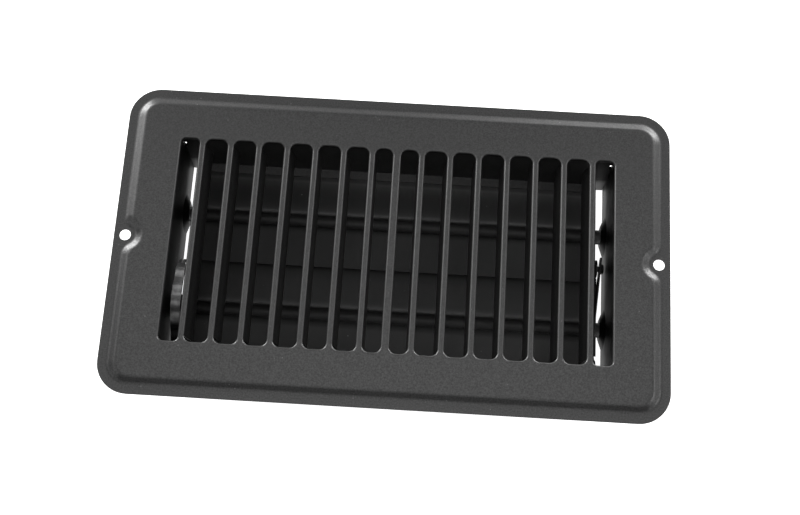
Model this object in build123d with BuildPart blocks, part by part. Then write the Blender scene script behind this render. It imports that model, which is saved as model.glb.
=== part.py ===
from build123d import *
import math
import os

os.makedirs("parts", exist_ok=True)

# Floor register for a nominal 4 x 8 in duct opening, millimetres.
# Frame: origin at the centre of the rim's underside, which is the floor level;
# +Z up through the face, +X along the long side, -Y the front side.

# ---------------------------------------------------------------- face plate
length = 241.9            # overall, nominal 9 1/2 in
width = 139.7             # overall, 5 1/2 in
corner_r = 13.8
sheet = 0.7               # steel sheet of every pressed piece
foot_in = 4.4             # rim edge to the foot of the step
rise = 1.7                # panel above the rim
step_run = 3.2            # horizontal run of the step
step_r = 3.5              # rounding at the foot and the top of the step
hole_x = 116.0            # screw holes
hole_r = 2.5
notch_r = 4.5             # step detour round each screw hole
notch_blend = 6.0
panel_top = sheet + rise
panel_under = panel_top - sheet

slot_half = 46.2          # slot ends in Y
slot_corner = 2.9
end_slot_corner = 2.0
fin_pitch = 12.60
fin_first = 11.01         # first fin's centre from the middle
fin_half = 1.40
mid_fin_half = 1.85
array_half = 96.2         # outer side of the end slots
roll_r = 1.0              # rolled slot edge
lip = 1.45                # depth of the rolled lip
tab_inset = 2.4           # folded tab's ends from the slot's ends

# slots of the right half, inner side to outer side, with the depth and the
# lean of the tab that is folded down along the outer side; the end slots have none
fins = [fin_first + fin_pitch * k for k in range(7)]
slots = [(mid_fin_half, fins[0] - fin_half, 8.3, 0.75)]
leans = [1.5, 1.15, 1.5, 1.3, 1.9, 2.2]
for k in range(6):
    slots.append((fins[k] + fin_half, fins[k + 1] - fin_half, 10.2, leans[k]))
slots.append((fins[6] + fin_half, array_half, 0, 0))

# -------------------------------------------------------------- sleeve walls
wall_y = 47.3             # inner face of the side walls
wall_x = 96.55            # inner face of the end walls
sleeve_bottom = -36.5
weld_flange = 8.0         # flange under the panel
bend_r = 0.9              # bend at mid sheet
end_bend_r = 1.7          # the end walls' wider bend clears the slot lips
stop_tip_y = 43.3         # inner edge of the stop flanges
stop_half = 88.0          # half length of the stop flanges
leg_half = 93.0           # corner legs start here at the bottom
corner_tab = 7.0
relief_w = 1.3            # relief slot at the top of every corner
relief_top = -5.0
relief_bottom = -9.7

# ------------------------------------------------------------------- damper
pivot_y = 22.15
pivot_z = -31.5
blade_left = -93.9        # blade ends in X
rear_right = 92.7
front_right = 93.5
arm_notch = 5.8           # half width of the step in the left end for the lever's arm
far_half = 24.3           # pivot to the far edge
near_half = 22.6          # pivot to the near edge
blade_lift = 1.2          # blade plane above the pivot axis
trough_r = 3.05           # stiffening trough, mid sheet
closed_tilt = -1.3        # degrees about X at rest
trunnion_end = 97.6
bearing_clear = 0.08
dimple_h = 1.75
dimple_base_r = 11.0
dimple_top_r = 4.9

ear_y = -17.6             # crank pin from the pivot
ear_z = 5.9
ear_half = 4.0
pin_r = 1.27
rear_ear = rear_right     # outer face of each crank ear
front_ear = 91.65
link_x = 93.75            # inner face of the link bar at the rear pin
link_t = 0.65
link_half = 3.1
link_tail = 2.4           # link past the rear pin
link_slant = 5.0          # degrees in plan, front end nearer the middle
lever_x = -94.35          # outer face of the lever's arm
lever_t = 0.8
pad_r = 24.2              # inside of the thumb pad
pad_t = 1.1
pad_x0 = -93.9            # thumb pad, outer and inner edge
pad_x1 = -90.0
pad_from = 58.0           # pad's arc, degrees from +Y towards +Z
pad_to = 146.0
tooth_to = 47.0           # teeth at the pad's far end
lump_first = 67.0
lump_pitch = 18.4
lump_h = 0.85
hub_r = 4.7


# --------------------------------------------------- pressed form of the face
def foot_outline():
    """Foot of the raised panel, with a detour round each screw hole."""
    half_x = length / 2 - foot_in
    RectangleRounded(2 * half_x, width - 2 * foot_in, corner_r - foot_in)
    with Locations((hole_x, 0), (-hole_x, 0)):
        Circle(notch_r, mode=Mode.SUBTRACT)


def notch_corners(sk):
    return [v for v in sk.vertices() if abs(v.Y) < 2 * notch_r]


draft = math.degrees(math.atan(step_run / rise))

with BuildPart() as form_top:
    with BuildSketch(Plane.XY.offset(sheet - 6)):
        RectangleRounded(length, width, corner_r)
    extrude(amount=6)
    with BuildSketch(Plane.XY.offset(sheet)) as foot_a:
        foot_outline()
        fillet(notch_corners(foot_a), notch_blend)
    extrude(amount=rise, taper=draft)
    fillet(form_top.faces().sort_by(Axis.Z)[-1].edges(), step_r)
    rim_face = [f for f in form_top.faces().filter_by(Axis.Z) if abs(f.center().Z - sheet) < 0.01][0]
    fillet(rim_face.inner_wires()[0].edges(), step_r)

with BuildPart() as form_under:
    with BuildSketch(Plane.XY.offset(-8)):
        RectangleRounded(length + 8, width + 8, corner_r + 4)
    extrude(amount=8)
    with BuildSketch(Plane.XY) as foot_b:
        foot_outline()
        fillet(notch_corners(foot_b), notch_blend)
    extrude(amount=rise, taper=draft)
    fillet(form_under.faces().sort_by(Axis.Z)[-1].edges(), step_r)
    seat_face = [f for f in form_under.faces().filter_by(Axis.Z) if abs(f.center().Z) < 0.01][0]
    fillet(seat_face.inner_wires()[0].edges(), step_r)

slot_spots = []
for inner, outer, tab_d, lean in slots:
    for side in (1, -1):
        slot_spots.append((side * (inner + outer) / 2, outer - inner, slot_corner if tab_d else end_slot_corner))

with BuildPart() as face_plate:
    add(form_top.part)
    add(form_under.part, mode=Mode.SUBTRACT)
    # short lip round every slot
    for cx, w, cr in slot_spots:
        with BuildSketch(Plane.XY.offset(panel_top - lip)):
            with Locations((cx, 0)):
                RectangleRounded(w + 2 * sheet, 2 * slot_half + 2 * sheet, cr + sheet)
        extrude(amount=lip - sheet / 2)
    for cx, w, cr in slot_spots:
        with BuildSketch(Plane.XY.offset(panel_top - lip - 1)):
            with Locations((cx, 0)):
                RectangleRounded(w, 2 * slot_half, cr)
        extrude(amount=lip + 2, mode=Mode.SUBTRACT)
    panel_face = [f for f in face_plate.faces().filter_by(Axis.Z) if abs(f.center().Z - panel_top) < 0.01]
    panel_face = sorted(panel_face, key=lambda f: f.area)[-1]
    fillet([e for w in panel_face.inner_wires() for e in w.edges()], roll_r)
    # tabs folded down along the outer side of every slot but the end ones
    for inner, outer, tab_d, lean in slots[:-1]:
        for side in (1, -1):
            z1 = panel_top - roll_r
            z2 = panel_top - tab_d
            with BuildSketch(Plane.XZ.offset(-(slot_half - tab_inset))):
                with BuildLine():
                    Polyline((side * outer, z1), (side * outer, z1 - 0.4),
                             (side * (outer - lean), z2), (side * (outer - lean + sheet), z2),
                             (side * (outer + sheet), z1 - 0.4), (side * (outer + sheet), z1), close=True)
                make_face()
            extrude(amount=2 * (slot_half - tab_inset))
    # screw holes
    with Locations((hole_x, 0, sheet), (-hole_x, 0, sheet)):
        Hole(hole_r)
    rim_top = [f for f in face_plate.faces().filter_by(Axis.Z) if abs(f.center().Z - sheet) < 0.01][0]
    fillet(rim_top.outer_wire().edges(), 0.3)
face_plate.part.label = "face_plate"
export_step(face_plate.part, "parts/face_plate.step")


# --------------------------------------------------------------- side walls
def side_wall_profile(stop_mid):
    """Weld flange, wall and inward stop flange at mid sheet, for the +Y side."""
    y = wall_y + sheet / 2
    with BuildLine() as fold:
        FilletPolyline((y + weld_flange, panel_under - sheet / 2), (y, panel_under - sheet / 2),
                       (y, stop_mid), (stop_tip_y, stop_mid), radius=bend_r)
    trace(fold.line, line_width=sheet)


def side_leg(side, end):
    """Corner leg below the stop flange, cut at an angle."""
    x0 = end * stop_half
    x1 = end * leg_half
    x2 = end * (wall_x - 0.1)
    top = stop_bend + 4.0
    with BuildLine() as edge:
        Polyline((x0, top), (x0, stop_bend), (x1, sleeve_bottom), (x2, sleeve_bottom), (x2, top), close=True)
    make_face(edge.line.edges())


half_len = wall_x - 0.1
tilt_drop = far_half * math.sin(math.radians(-closed_tilt))
tilt_rise = near_half * math.sin(math.radians(-closed_tilt))
stop_rear = pivot_z + blade_lift + sheet / 2 - tilt_drop + 0.2 + sheet / 2
stop_front = pivot_z + blade_lift - sheet / 2 + tilt_rise - 0.2 - sheet / 2

stop_bend = stop_rear
with BuildPart() as rear_side_wall:
    with BuildSketch(Plane.YZ.offset(-half_len)):
        side_wall_profile(stop_rear)
    extrude(amount=2 * half_len)
    # the stop flange ends short of the corners
    for end in (1, -1):
        with BuildSketch(Plane.XY.offset(stop_rear - 3)):
            with Locations((end * (stop_half + 10), 0)):
                Rectangle(20, 2 * wall_y)
        extrude(amount=8, mode=Mode.SUBTRACT)
        with BuildSketch(Plane.XZ.offset(-wall_y)):
            side_leg(1, end)
        extrude(amount=-sheet)
        with BuildSketch(Plane.XY.offset(relief_bottom)):
            with Locations((end * (wall_x - relief_w / 2), wall_y)):
                Rectangle(relief_w, 6)
        extrude(amount=relief_top - relief_bottom, mode=Mode.SUBTRACT)
rear_side_wall.part.label = "rear_side_wall"
export_step(rear_side_wall.part, "parts/rear_side_wall.step")

stop_bend = stop_front
with BuildPart() as front_form:
    with BuildSketch(Plane.YZ.offset(-half_len)):
        side_wall_profile(stop_front)
    extrude(amount=2 * half_len)
    for end in (1, -1):
        with BuildSketch(Plane.XY.offset(stop_front - 3)):
            with Locations((end * (stop_half + 10), 0)):
                Rectangle(20, 2 * wall_y)
        extrude(amount=8, mode=Mode.SUBTRACT)
        with BuildSketch(Plane.XZ.offset(-wall_y)):
            side_leg(1, end)
        extrude(amount=-sheet)
        with BuildSketch(Plane.XY.offset(relief_bottom)):
            with Locations((end * (wall_x - relief_w / 2), wall_y)):
                Rectangle(relief_w, 6)
        extrude(amount=relief_top - relief_bottom, mode=Mode.SUBTRACT)

with BuildPart() as front_side_wall:
    add(mirror(front_form.part, about=Plane.XZ, mode=Mode.PRIVATE))
front_side_wall.part.label = "front_side_wall"
export_step(front_side_wall.part, "parts/front_side_wall.step")


# ---------------------------------------------------------------- end walls
with BuildPart() as right_end_wall:
    # weld flange and wall
    x = wall_x + sheet / 2
    span = wall_y + sheet
    with BuildSketch(Plane.XZ.offset(-span)):
        with BuildLine():
            FilletPolyline((x + weld_flange, panel_under - sheet / 2), (x, panel_under - sheet / 2),
                           (x, sleeve_bottom), radius=end_bend_r)
        trace(line_width=sheet)
    extrude(amount=2 * span)
    # corner tabs that lap the side walls outside
    for side in (1, -1):
        with BuildSketch(Plane.XY.offset(sleeve_bottom + 2)):
            with Locations((wall_x + sheet - corner_tab / 2, side * (span + sheet / 2))):
                Rectangle(corner_tab, sheet)
        extrude(amount=panel_under - sheet - 2.5 - sleeve_bottom - 2)
    fillet([e for e in right_end_wall.edges().filter_by(Axis.Z)
            if abs(e.center().X - wall_x - sheet) < 0.01 and abs(abs(e.center().Y) - span - sheet) < 0.01], 0.6)
    # relief slots at the top of the corners
    for side in (1, -1):
        with BuildSketch(Plane.XY.offset(relief_bottom)):
            with Locations((wall_x - relief_w / 2, side * (span + sheet / 2))):
                Rectangle(relief_w, 3 * sheet)
        extrude(amount=relief_top - relief_bottom, mode=Mode.SUBTRACT)
    # dimple pressed inwards round each bearing hole
    for side in (1, -1):
        with BuildSketch(Plane.YZ.offset(wall_x + sheet)):
            with Locations((side * pivot_y, pivot_z)):
                Circle(dimple_base_r)
        with BuildSketch(Plane.YZ.offset(wall_x + sheet - dimple_h - sheet)):
            with Locations((side * pivot_y, pivot_z)):
                Circle(dimple_top_r)
        loft(mode=Mode.ADD)
    for side in (1, -1):
        with BuildSketch(Plane.YZ.offset(wall_x + 2 * sheet)):
            with Locations((side * pivot_y, pivot_z)):
                Circle(dimple_base_r)
        with BuildSketch(Plane.YZ.offset(wall_x + 2 * sheet - dimple_h - sheet)):
            with Locations((side * pivot_y, pivot_z)):
                Circle(dimple_top_r)
        loft(mode=Mode.SUBTRACT)
        with BuildSketch(Plane.YZ.offset(wall_x - dimple_h - 2)):
            with Locations((side * pivot_y, pivot_z)):
                Circle(trough_r + sheet / 2 + bearing_clear)
        extrude(amount=8, mode=Mode.SUBTRACT)
    # the bottom edge cuts through the dimples
    with BuildSketch(Plane.XY.offset(sleeve_bottom - 20)):
        with Locations((wall_x, 0)):
            Rectangle(40, 140)
    extrude(amount=20, mode=Mode.SUBTRACT)
right_end_wall.part.label = "right_end_wall"
export_step(right_end_wall.part, "parts/right_end_wall.step")

with BuildPart() as left_end_wall:
    add(mirror(right_end_wall.part, about=Plane.YZ, mode=Mode.PRIVATE))
left_end_wall.part.label = "left_end_wall"
export_step(left_end_wall.part, "parts/left_end_wall.step")


# ------------------------------------------------------------- damper blades
def blade_profile():
    """Flat blade with a half-round trough, mid sheet, pivot axis at the origin."""
    r = trough_r
    s = blade_lift
    with BuildLine() as fold:
        Line((far_half, s), (r + s, s))
        CenterArc((r + s, 0), s, 90, 90)
        CenterArc((0, 0), r, 0, -180)
        CenterArc((-r - s, 0), s, 0, 90)
        Line((-r - s, s), (-near_half, s))
    trace(fold.line, line_width=sheet)


def trunnion_profile():
    with BuildLine() as fold:
        CenterArc((0, 0), trough_r, 0, -180)
    trace(fold.line, line_width=sheet)


blade_tilt = Rot(closed_tilt, 0, 0)

for name, py, right_end, ear_x in (("rear_damper_blade", pivot_y, rear_right, rear_ear),
                                   ("front_damper_blade", -pivot_y, front_right, front_ear)):
    with BuildPart() as blade_flat:
        with BuildSketch(Plane.YZ.offset(blade_left)):
            blade_profile()
        extrude(amount=right_end - blade_left)
        # step in the left end that clears the lever's arm
        with BuildSketch(Plane.XY.offset(-6)):
            with Locations((blade_left - 0.1, 0)):
                Rectangle(1.0, 2 * arm_notch)
        extrude(amount=12, mode=Mode.SUBTRACT)
        # trunnions: the trough runs on past both ends
        with BuildSketch(Plane.YZ.offset(-trunnion_end)):
            trunnion_profile()
        extrude(amount=2 * trunnion_end)
        # the blade's end is cut away round the ear's bend
        for side in (1, -1):
            with BuildSketch(Plane.XY.offset(blade_lift - 2)):
                with Locations((ear_x + 1.5, ear_y + side * (ear_half + 0.5))):
                    Rectangle(6.0, 1.0)
            extrude(amount=4, mode=Mode.SUBTRACT)
        with BuildSketch(Plane.XY.offset(blade_lift - 2)):
            with Locations((ear_x + 2, ear_y)):
                Rectangle(4.0, 2 * ear_half + 1)
        extrude(amount=4, mode=Mode.SUBTRACT)
        # crank ear turned up
        with BuildSketch(Plane.YZ.offset(ear_x - sheet)):
            with Locations((ear_y, ear_z)):
                Circle(ear_half)
            with Locations((ear_y, (ear_z + blade_lift) / 2)):
                Rectangle(2 * ear_half, ear_z - blade_lift)
            with Locations((ear_y, ear_z)):
                Circle(pin_r + 0.03, mode=Mode.SUBTRACT)
        extrude(amount=sheet)
        fillet([e for e in blade_flat.edges().filter_by(Axis.Z)
                if (abs(e.center().X - blade_left) < 0.01 or abs(e.center().X - right_end) < 0.01)
                and (abs(e.center().Y - far_half) < 0.01 or abs(e.center().Y + near_half) < 0.01)
                and e.length < 1.5], 0.8)

    with BuildPart() as blade:
        add(Pos(0, py, pivot_z) * (blade_tilt * blade_flat.part))
    blade.part.label = name
    export_step(blade.part, "parts/" + name + ".step")


# -------------------------------------------------------------- thumb lever
def pad_radius(a):
    """Outer radius of the ribbed thumb pad at angle a."""
    return pad_r + pad_t + lump_h * 0.5 * (1 + math.cos(math.radians((a - lump_first) * 360 / lump_pitch)))


def polar(r, a):
    return (r * math.cos(math.radians(a)), r * math.sin(math.radians(a)))


pad_steps = 44
pad_angles = [pad_from + (pad_to - pad_from) * i / pad_steps for i in range(pad_steps + 1)]
with BuildPart() as lever_flat:
    # ribbed pad, turned over towards the blade
    with BuildSketch(Plane.YZ.offset(pad_x0)):
        with BuildLine():
            crest = Spline(*[polar(pad_radius(a), a) for a in pad_angles])
            Line(crest @ 1, polar(pad_r, pad_to))
            CenterArc((0, 0), pad_r, pad_to, pad_from - pad_to)
            Line(polar(pad_r, pad_from), crest @ 0)
        make_face()
    extrude(amount=pad_x1 - pad_x0)
    # two teeth under the pad's far end
    for tooth_x in (pad_x0 + 0.1, pad_x0 + 1.9):
        with BuildSketch(Plane.YZ.offset(tooth_x)):
            with BuildLine():
                Polyline(polar(pad_r, pad_from + 2), polar(pad_r + 0.9, pad_from + 2), polar(pad_r + 0.9, pad_from),
                         polar(pad_r + 0.3, tooth_to), polar(pad_r, pad_from), close=True)
            make_face()
        extrude(amount=1.2)
    # arm and hub
    with BuildSketch(Plane.YZ.offset(lever_x)):
        Circle(hub_r)
        with BuildLine():
            Polyline(polar(5.0, 30), polar(pad_r + 0.9, 84), polar(pad_r + 0.9, 96), polar(pad_r + 0.9, 108),
                     polar(pad_r + 0.9, 120), polar(5.0, 174), close=True)
        make_face()
        # half-round keyway over the trunnion
        Circle(trough_r + sheet / 2 + 0.03, mode=Mode.SUBTRACT)
    extrude(amount=lever_t)
with BuildPart() as lever_key:
    with BuildSketch(Plane.YZ.offset(lever_x)):
        with BuildLine():
            Line((trough_r + sheet, 0.03), (-trough_r - sheet, 0.03))
            CenterArc((0, 0.03), trough_r + sheet, 180, -180)
        make_face()
    extrude(amount=lever_t)

with BuildPart() as thumb_lever:
    add(Pos(0, -pivot_y, pivot_z) * (blade_tilt * lever_flat.part))
    add(Pos(0, -pivot_y, pivot_z) * (blade_tilt * lever_key.part))
thumb_lever.part.label = "thumb_lever"
export_step(thumb_lever.part, "parts/thumb_lever.step")


# ----------------------------------------------------------- link and rivets
def crank_pin(py):
    t = math.radians(closed_tilt)
    return (py + ear_y * math.cos(t) - ear_z * math.sin(t),
            pivot_z + ear_y * math.sin(t) + ear_z * math.cos(t))


rear_pin = crank_pin(pivot_y)
front_pin = crank_pin(-pivot_y)

with BuildPart() as link_flat:
    with BuildSketch(Plane.YZ.offset(link_x)):
        with Locations(((rear_pin[0] + link_tail + front_pin[0]) / 2, rear_pin[1])):
            SlotCenterToCenter(rear_pin[0] + link_tail - front_pin[0], 2 * link_half)
    extrude(amount=link_t)

link_mid = (link_x + link_t / 2, rear_pin[0], 0)
with BuildPart() as link_bar:
    add(Pos(*link_mid) * (Rot(0, 0, -link_slant) * (Pos(-link_mid[0], -link_mid[1], 0) * link_flat.part)))
    with BuildSketch(Plane.YZ.offset(link_x - 12)):
        with Locations(rear_pin, front_pin):
            Circle(pin_r + 0.08)
    extrude(amount=16, mode=Mode.SUBTRACT)
link_bar.part.label = "link_bar"
export_step(link_bar.part, "parts/link_bar.step")


front_link = link_mid[0] - (rear_pin[0] - front_pin[0]) * math.tan(math.radians(link_slant))
for name, pin, way, ear_face, neck_x in (
        ("rear_link_rivet", rear_pin, 1, rear_ear - sheet, link_mid[0] + link_t / 2 + 0.35),
        ("front_link_rivet", front_pin, -1, front_ear, front_link - link_t / 2 - 0.35)):
    with BuildPart() as rivet:
        # upset tail against the ear
        with BuildSketch(Plane.YZ.offset(ear_face)):
            with Locations(pin):
                Circle(2.1)
        extrude(amount=-0.9 * way)
        chamfer(rivet.edges().sort_by(Axis.X)[0 if way > 0 else -1], 0.4)
        # shank through the ear and the link
        with BuildSketch(Plane.YZ.offset(ear_face - 0.5 * way)):
            with Locations(pin):
                Circle(pin_r)
        extrude(amount=neck_x - ear_face + 0.8 * way)
        # domed head
        with BuildSketch(Plane.YZ.offset(neck_x)):
            with Locations(pin):
                Circle(2.3)
        extrude(amount=1.1 * way)
        fillet(rivet.edges().sort_by(Axis.X)[-1 if way > 0 else 0], 0.9)
    rivet.part.label = name
    export_step(rivet.part, "parts/" + name + ".step")
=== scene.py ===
import bpy
import math
from mathutils import Matrix, Vector


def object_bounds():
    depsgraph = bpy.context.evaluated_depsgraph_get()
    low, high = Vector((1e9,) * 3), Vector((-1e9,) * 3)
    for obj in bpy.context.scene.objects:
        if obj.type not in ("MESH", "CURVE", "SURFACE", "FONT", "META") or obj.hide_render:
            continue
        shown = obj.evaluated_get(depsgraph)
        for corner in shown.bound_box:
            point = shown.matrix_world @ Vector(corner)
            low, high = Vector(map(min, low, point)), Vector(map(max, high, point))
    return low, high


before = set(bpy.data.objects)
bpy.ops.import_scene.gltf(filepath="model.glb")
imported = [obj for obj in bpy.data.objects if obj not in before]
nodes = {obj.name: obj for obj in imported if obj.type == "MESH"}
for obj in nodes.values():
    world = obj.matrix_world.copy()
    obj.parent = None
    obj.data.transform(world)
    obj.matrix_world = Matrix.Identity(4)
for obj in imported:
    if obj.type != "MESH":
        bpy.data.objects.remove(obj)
cad_lo, cad_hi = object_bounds()
scene = bpy.context.scene


# ------------------------------------------------------------------ node helpers
class Nodes:
    """A material's node tree with one Principled shader and object coordinates."""

    def __init__(self, name):
        self.mat = bpy.data.materials.new(name)
        self.mat.use_nodes = True
        self.tree = self.mat.node_tree
        self.tree.nodes.clear()
        self.out = self.add("ShaderNodeOutputMaterial")
        self.bsdf = self.add("ShaderNodeBsdfPrincipled")
        self.link(self.bsdf.outputs[0], self.out.inputs[0])
        self.coord = self.add("ShaderNodeTexCoord").outputs["Object"]

    def add(self, kind):
        return self.tree.nodes.new(kind)

    def link(self, a, b):
        self.tree.links.new(a, b)

    def set(self, **values):
        for name, value in values.items():
            self.bsdf.inputs[name.replace("_", " ")].default_value = value

    def stretch(self, sx, sy, sz):
        node = self.add("ShaderNodeMapping")
        node.inputs["Scale"].default_value = (sx, sy, sz)
        self.link(self.coord, node.inputs["Vector"])
        return node.outputs[0]

    def noise(self, scale, detail=2.0, rough=0.5, vector=None, distortion=0.0):
        node = self.add("ShaderNodeTexNoise")
        node.inputs["Scale"].default_value = scale
        node.inputs["Detail"].default_value = detail
        node.inputs["Roughness"].default_value = rough
        node.inputs["Distortion"].default_value = distortion
        self.link(vector if vector is not None else self.coord, node.inputs["Vector"])
        return node.outputs[0]

    def cells(self, scale, vector=None, feature="F1"):
        node = self.add("ShaderNodeTexVoronoi")
        node.feature = feature
        node.inputs["Scale"].default_value = scale
        self.link(vector if vector is not None else self.coord, node.inputs["Vector"])
        return node

    def remap(self, value, lo, hi, to_lo, to_hi):
        node = self.add("ShaderNodeMapRange")
        node.clamp = True
        self.link(value, node.inputs["Value"])
        for i, x in enumerate((lo, hi, to_lo, to_hi)):
            node.inputs[i + 1].default_value = x
        return node.outputs[0]

    def math(self, op, a, b):
        node = self.add("ShaderNodeMath")
        node.operation = op
        for i, x in enumerate((a, b)):
            if isinstance(x, (int, float)):
                node.inputs[i].default_value = x
            else:
                self.link(x, node.inputs[i])
        return node.outputs[0]

    def mix(self, fac, a, b, blend="MIX"):
        node = self.add("ShaderNodeMix")
        node.data_type = "RGBA"
        node.blend_type = blend
        for i, x in ((0, fac), (6, a), (7, b)):
            if isinstance(x, (int, float)):
                node.inputs[i].default_value = x
            elif isinstance(x, tuple):
                node.inputs[i].default_value = (*x, 1.0)
            else:
                self.link(x, node.inputs[i])
        return node.outputs[2]

    def bump(self, height, distance, strength=1.0, normal=None):
        node = self.add("ShaderNodeBump")
        node.inputs["Strength"].default_value = strength
        node.inputs["Distance"].default_value = distance
        self.link(height, node.inputs["Height"])
        if normal is not None:
            self.link(normal, node.inputs["Normal"])
        return node.outputs[0]


def grey(v, warm=0.0):
    return (v * (1 + warm), v, v * (1 - warm))


# --------------------------------------------------------------------- materials
def powder_coat():
    """Charcoal powder coat: fine grainy skin, faint mottling, a few lighter grains."""
    n = Nodes("powder_coat")
    grain = n.noise(1500, 2.0, 0.6)
    coarse = n.noise(900, 1.0, 0.5)
    mottle = n.noise(55, 3.0, 0.55)
    tone = n.mix(n.remap(grain, 0.30, 0.70, 0.0, 1.0), grey(0.012), grey(0.028))
    tone = n.mix(n.remap(mottle, 0.25, 0.75, 0.0, 0.15), tone, grey(0.021))
    speck = n.cells(420).outputs["Distance"]
    pick = n.noise(160, 0.0)
    fleck = n.math("MULTIPLY", n.remap(speck, 0.06, 0.14, 1.0, 0.0), n.remap(pick, 0.66, 0.70, 0.0, 0.55))
    tone = n.mix(fleck, tone, grey(0.16))
    # painted highlight: the rolled slot edges are painted paler, and the left-facing ones towards the right end paler
    # still, where the side lights catch them
    up = n.add("ShaderNodeSeparateXYZ")
    n.link(n.add("ShaderNodeNewGeometry").outputs["Normal"], up.inputs[0])
    spot = n.add("ShaderNodeSeparateXYZ")
    n.link(n.coord, spot.inputs[0])
    field = n.math("MULTIPLY", n.math("LESS_THAN", n.math("ABSOLUTE", spot.outputs[0], 0.0), 0.0985),
                   n.math("LESS_THAN", n.math("ABSOLUTE", spot.outputs[1], 0.0), 0.0485))
    bend = n.math("MULTIPLY", n.remap(up.outputs[2], 0.25, 0.50, 0.0, 1.0), n.remap(up.outputs[2], 0.90, 0.985, 1.0, 0.0))
    painted_edge_highlight = n.math("MULTIPLY", n.math("MULTIPLY", field, bend), n.remap(mottle, 0.3, 0.7, 0.75, 1.0))
    left_facing_edge_highlight = n.math("MULTIPLY", n.remap(spot.outputs[0], -0.06, 0.06, 0.0, 1.0), n.remap(up.outputs[0], -0.10, 0.0, 1.0, 0.0))
    tone = n.mix(painted_edge_highlight, tone, n.mix(left_facing_edge_highlight, grey(0.029), grey(0.058)))
    # painted shade: the upright sides of the slots' lips and tabs are painted darker and less shiny near their tops, a
    # little paler lower down
    steep = n.math("MULTIPLY", field, n.remap(n.math("ABSOLUTE", up.outputs[2], 0.0), 0.30, 0.55, 1.0, 0.0))
    tab_shade_by_depth = n.remap(spot.outputs[2], -0.0072, -0.0005, 1.1, 0.36)
    shade = n.math("ADD", n.math("MULTIPLY", steep, n.math("SUBTRACT", tab_shade_by_depth, 1.0)), 1.0)
    tone = n.mix(1.0, tone, shade, "MULTIPLY")
    n.link(tone, n.bsdf.inputs["Base Color"])
    n.link(n.remap(grain, 0.25, 0.75, 0.40, 0.30), n.bsdf.inputs["Roughness"])
    n.link(n.bump(coarse, 0.00006, 0.35, n.bump(grain, 0.00005, 0.45)), n.bsdf.inputs["Normal"])
    n.set(Metallic=0.0)
    n.link(n.math("MULTIPLY", shade, n.remap(grain, 0.30, 0.70, 0.42, 0.58)), n.bsdf.inputs["Specular IOR Level"])
    return n.mat


# painted light and shade across a blade: painted highlights on the trough's shoulders, painted shade in its grooves, a
# painted highlight along the rear blade's far edge and a painted shadow of the lap along the front blade's far edge:
# (mm from the pivot, factor)
BLADE_PAINTED_LIGHT_SHADE = [(-5.2, 0.95), (-4.4, 0.75), (-3.7, 0.59), (-3.25, 0.46), (-2.75, 0.53), (-2.3, 0.9), (-1.8, 1.15),
        (-1.3, 1.15), (-0.85, 1.35), (0.1, 1.28), (0.6, 1.0), (1.5, 1.0), (2.4, 1.1), (3.3, 1.4), (3.55, 2.2),
        (3.8, 3.4), (4.1, 3.1), (4.5, 1.9), (5.2, 1.5), (6.0, 1.2), (7.0, 1.05)]
REAR_BLADE_PAINTED_LIGHT_SHADE = [(-6.0, 1.0)] + BLADE_PAINTED_LIGHT_SHADE + [(9.0, 0.9), (12.2, 0.9), (14.6, 1.06), (16.0, 1.25), (17.0, 1.48), (18.9, 1.95),
                                    (19.4, 2.4), (19.9, 2.4), (20.6, 1.7)]
FRONT_BLADE_PAINTED_LIGHT_SHADE = [(-6.0, 1.2)] + BLADE_PAINTED_LIGHT_SHADE + [(10.0, 1.05), (16.0, 1.0), (18.4, 0.86), (19.4, 0.81), (20.6, 0.68), (21.3, 0.54),
                                     (21.8, 0.37), (22.4, 0.5)]


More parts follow.
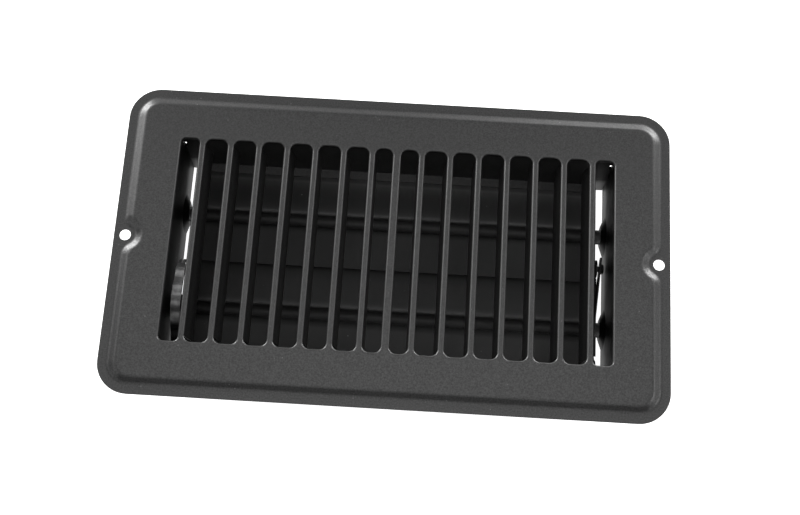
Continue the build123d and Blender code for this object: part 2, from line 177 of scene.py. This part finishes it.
def sheet_coat(name, lo, hi, rough_lo, rough_hi, shine, level_tone, corner=0.0, pivot=0.0, painted_light_shade=None, deep=None):
    """Thin black coat over rolled sheet: faint rolling streaks, paler on the upward-facing level parts."""
    n = Nodes(name)
    streak = n.noise(1.0, 3.0, 0.6, n.stretch(18, 900, 900))
    grain = n.noise(1300, 2.0, 0.6)
    cloud = n.noise(42, 3.0, 0.6)
    tone = n.mix(n.remap(streak, 0.30, 0.70, 0.0, 1.0), grey(lo), grey(hi))
    tone = n.mix(n.remap(grain, 0.30, 0.70, 0.0, 0.45), tone, grey(hi * 1.7))
    tone = n.mix(n.remap(cloud, 0.35, 0.75, 0.0, 0.35), tone, grey(hi * 1.12))
    up = n.add("ShaderNodeSeparateXYZ")
    n.link(n.add("ShaderNodeNewGeometry").outputs["Normal"], up.inputs[0])
    # the coat is paler on the upward-facing level parts
    upward_mask = n.math("MULTIPLY", n.remap(up.outputs[2], 0.80, 0.97, 0.0, 0.75), n.remap(grain, 0.25, 0.75, 0.6, 1.3))
    tone = n.mix(upward_mask, tone, grey(level_tone))
    # painted shade: the coat is painted near black and dull in the upper corners, where shade falls
    spot = n.add("ShaderNodeSeparateXYZ")
    n.link(n.coord, spot.inputs[0])
    corner_shade_mask = n.math("MULTIPLY", n.remap(n.math("ABSOLUTE", spot.outputs[0], 0.0), 0.0845, 0.0885, 0.0, corner),
                 n.remap(spot.outputs[2], -0.0275, -0.0235, 0.0, 1.0))
    tone = n.mix(corner_shade_mask, tone, grey(0.004))
    gloss = n.remap(corner_shade_mask, 0.0, 1.0, shine, 0.04)
    if deep is not None:
        gloss = n.remap(spot.outputs[2], -0.0335, -0.0225, deep, shine)
    if painted_light_shade is not None:
        # painted light and shade across the blade from the table, with painted shade towards the left end and painted
        # light towards the right end; the specular level follows it
        ramp = n.add("ShaderNodeValToRGB")
        n.link(n.remap(spot.outputs[1], pivot - 0.024, pivot + 0.024, 0.0, 1.0), ramp.inputs[0])
        steps = ramp.color_ramp.elements
        while len(steps) < len(painted_light_shade):
            steps.new(1.0)
        for step, (mm, factor) in zip(steps, painted_light_shade):
            step.position = (mm + 24.0) / 48.0
            step.color = (*grey(factor / 5.0), 1.0)
        painted_shade_and_light_along = n.math("MULTIPLY", n.remap(spot.outputs[0], -0.088, -0.020, 0.82, 1.0),
                       n.remap(spot.outputs[0], 0.015, 0.055, 1.0, 1.22))
        scale = n.math("MULTIPLY", n.math("MULTIPLY", ramp.outputs[0], 5.0), painted_shade_and_light_along)
        tone = n.mix(1.0, tone, scale, "MULTIPLY")
        gloss = n.math("MINIMUM", n.math("MULTIPLY", gloss, scale), 1.0)
    dust = n.cells(300).outputs["Distance"]
    pick = n.noise(120, 0.0)
    fleck = n.math("MULTIPLY", n.remap(dust, 0.05, 0.12, 1.0, 0.0), n.remap(pick, 0.68, 0.71, 0.0, 0.5))
    tone = n.mix(fleck, tone, grey(0.22))
    n.link(tone, n.bsdf.inputs["Base Color"])
    n.link(n.remap(cloud, 0.3, 0.7, rough_hi, rough_lo), n.bsdf.inputs["Roughness"])
    n.link(n.bump(streak, 0.00003, 0.25, n.bump(grain, 0.00004, 0.3)), n.bsdf.inputs["Normal"])
    n.link(gloss, n.bsdf.inputs["Specular IOR Level"])
    return n.mat


def zinc_plate():
    """Dull bright zinc plate: small spangles, scuffed crests, painted shade darkening down the thumb pad."""
    n = Nodes("zinc_plate")
    spangle = n.cells(650).outputs["Color"]
    bw = n.add("ShaderNodeRGBToBW")
    n.link(spangle, bw.inputs[0])
    cloud = n.noise(260, 4.0, 0.6)
    scratch = n.noise(1.0, 2.0, 0.6, n.stretch(260, 2200, 2200))
    tone = n.mix(n.remap(bw.outputs[0], 0.2, 0.8, 0.0, 1.0), grey(0.55), grey(0.75))
    tone = n.mix(n.remap(cloud, 0.35, 0.70, 0.0, 0.5), tone, grey(0.40))
    tone = n.mix(n.remap(scratch, 0.62, 0.70, 0.0, 0.35), tone, grey(0.78))
    # painted shade: the zinc is painted darker down the thumb pad, nearly black at its lower end
    spot = n.add("ShaderNodeSeparateXYZ")
    n.link(n.coord, spot.inputs[0])
    pad_painted_shade = n.math("MULTIPLY", n.remap(spot.outputs[1], -0.020, -0.010, 0.33, 1.0),
                   n.remap(spot.outputs[1], -0.038, -0.021, 0.15, 1.0))
    tone = n.mix(n.math("MULTIPLY", pad_painted_shade, n.remap(cloud, 0.3, 0.7, 1.1, 0.8)), grey(0.004), tone)
    n.link(tone, n.bsdf.inputs["Base Color"])
    n.link(n.remap(cloud, 0.3, 0.7, 0.36, 0.56), n.bsdf.inputs["Roughness"])
    n.link(n.bump(cloud, 0.00006, 0.3, n.bump(scratch, 0.00002, 0.3)), n.bsdf.inputs["Normal"])
    n.set(Metallic=0.85)
    return n.mat


face_mat = powder_coat()
sleeve_mat = sheet_coat("sleeve_coat", 0.021, 0.027, 0.44, 0.56, 0.42, 0.080, 1.0)
# painted shade: the end walls get a near-black, dull copy of the sleeve's coat for the shade on them
shaded_end_mat = sheet_coat("end_coat_painted_shade", 0.004, 0.006, 0.46, 0.58, 0.03, 0.014, deep=0.22)
damper_mat = sheet_coat("damper_coat", 0.0132, 0.0172, 0.46, 0.58, 0.31, 0.0165)
rear_mat = sheet_coat("rear_blade_coat", 0.0132, 0.0172, 0.46, 0.58, 0.31, 0.0165, 0.0, 0.02140, REAR_BLADE_PAINTED_LIGHT_SHADE)
front_mat = sheet_coat("front_blade_coat", 0.0132, 0.0172, 0.46, 0.58, 0.31, 0.0165, 0.0, -0.02290, FRONT_BLADE_PAINTED_LIGHT_SHADE)
zinc_mat = zinc_plate()

dress = {
    "face_plate": face_mat,
    "rear_side_wall": sleeve_mat,
    "front_side_wall": sleeve_mat,
    "left_end_wall": shaded_end_mat,
    "right_end_wall": shaded_end_mat,
    "rear_damper_blade": rear_mat,
    "front_damper_blade": front_mat,
    "thumb_lever": zinc_mat,
    "link_bar": damper_mat,
    "rear_link_rivet": damper_mat,
    "front_link_rivet": damper_mat,
}
for name, mat in dress.items():
    for i in range(len(nodes[name].material_slots)):
        nodes[name].material_slots[i].material = mat

# ------------------------------------------------------------------------- stage
bpy.ops.mesh.primitive_plane_add(size=60.0,location=(0, 0, cad_lo.z - 0.0002))
floor = bpy.context.object
floor.name = "floor"
fm = bpy.data.materials.new("pale_floor")
fm.use_nodes = True
fb = fm.node_tree.nodes["Principled BSDF"]
fb.inputs["Base Color"].default_value = (0.85, 0.85, 0.85, 1)
fb.inputs["Roughness"].default_value = 0.9
fb.inputs["Emission Color"].default_value = (1, 1, 1, 1)
fb.inputs["Emission Strength"].default_value = 1.0
floor.data.materials.append(fm)

world = bpy.data.worlds.new("studio")
scene.world = world
world.use_nodes = True
world.node_tree.nodes["Background"].inputs["Color"].default_value = (1, 1, 1, 1)
world.node_tree.nodes["Background"].inputs["Strength"].default_value = 0.01


def softbox(name, place, aim, wide, high, power):
    data = bpy.data.lights.new(name, "AREA")
    data.shape = "RECTANGLE"
    data.size = wide
    data.size_y = high
    data.energy = power
    lamp = bpy.data.objects.new(name, data)
    scene.collection.objects.link(lamp)
    lamp.location = place
    lamp.rotation_mode = "QUATERNION"
    lamp.rotation_quaternion = (Vector(aim) - Vector(place)).to_track_quat("-Z", "Y")
    return lamp


for name, place, wide, high, power in (
        ("overhead", (0.0, 0.0, 1.4), 1.2, 1.2, 6.3),
        ("near_overhead", (0.0, -0.75, 1.25), 1.4, 0.6, 2.4),
        ("right_near_bank", (1.175, -0.428, 0.95), 0.7, 0.55, 2.5),
        ("left_near_bank", (-1.189, -0.386, 0.95), 0.7, 0.55, 2.5),
        ("right_bank", (1.25, 0.0, 0.95), 0.7, 0.55, 4.4),
        ("right_far_bank", (0.884, 0.884, 0.95), 0.7, 0.55, 3.3),
        ("left_far_bank", (-0.884, 0.884, 0.95), 0.7, 0.55, 3.0),
        ("left_bank", (-1.133, 0.528, 0.95), 0.7, 0.55, 2.6),
        ("right_strip_a", (1.379, 0.243, 0.42), 0.42, 0.5, 0.5),
        ("right_strip_b", (1.236, 0.657, 0.42), 0.42, 0.5, 0.7),
        ("right_strip_c", (0.99, 0.99, 0.42), 0.42, 0.5, 12.3),
        ("right_strip_d", (0.7, 1.212, 0.42), 0.42, 0.5, 5.9),
        ("far_strip_a", (0.362, 1.352, 0.42), 0.42, 0.5, 3.7),
        ("far_strip_b", (-0.362, 1.352, 0.42), 0.42, 0.5, 1.1),
        ("left_strip_a", (-0.99, 0.99, 0.42), 0.42, 0.5, 18.9),
        ("left_strip_b", (-1.212, 0.7, 0.42), 0.42, 0.5, 4.1),
):
    softbox(name, place, (0, 0, 0), wide, high, power)

# ------------------------------------------------------------------------ camera
cam_data = bpy.data.cameras.new("camera")
cam_data.lens = 57.431
cam_data.sensor_width = 36.0
cam_data.sensor_fit = "HORIZONTAL"
cam_data.clip_start = 0.01
cam_data.clip_end = 50.0
cam = bpy.data.objects.new("camera", cam_data)
scene.collection.objects.link(cam)
rot = Matrix(((0.99824236, -0.05688051, 0.01663730),
              (0.05924868, 0.95152348, -0.30181560),
              (0.00133665, 0.30227085, 0.95322114)))
cam.matrix_world = Matrix.Translation(Vector((0.013221, -0.169980, 0.527182))) @ rot.to_4x4()
scene.camera = cam

scene.view_settings.view_transform = "Standard"
scene.view_settings.look = "None"

# -------------------------------------------------------------------------- update
bpy.context.view_layer.update()
